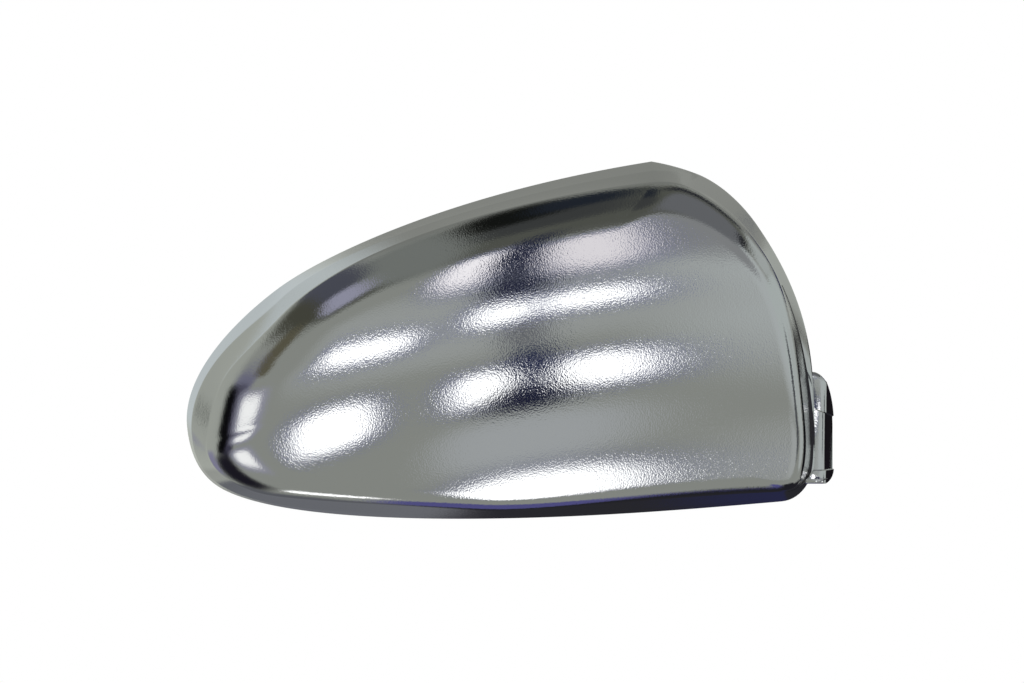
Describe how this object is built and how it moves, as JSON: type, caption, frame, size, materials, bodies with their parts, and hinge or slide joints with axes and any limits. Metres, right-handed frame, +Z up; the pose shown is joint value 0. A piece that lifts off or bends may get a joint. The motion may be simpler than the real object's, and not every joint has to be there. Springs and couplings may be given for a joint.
{
  "type": "wing mirror cover",
  "caption": "Chrome-plated moulded cover for a car's door mirror: crowned face with a rounded nose, stepped rim, snap hooks and a recessed cuff.",
  "frame": {"origin": "middle of the cover's length and height, in the plane of the rim that seats on the mirror housing", "axes": "+X from the rounded outboard nose to the door, +Y from the bulging face to the open back, +Z up as on the car"},
  "size_m": [0.2242, 0.067, 0.124],
  "materials": {
    "chrome_plate": "bright chrome plated on moulded ABS"
  },
  "bodies": {
    "root": {"mirror_cover": "chrome_plate"}
  },
  "joints": []
}
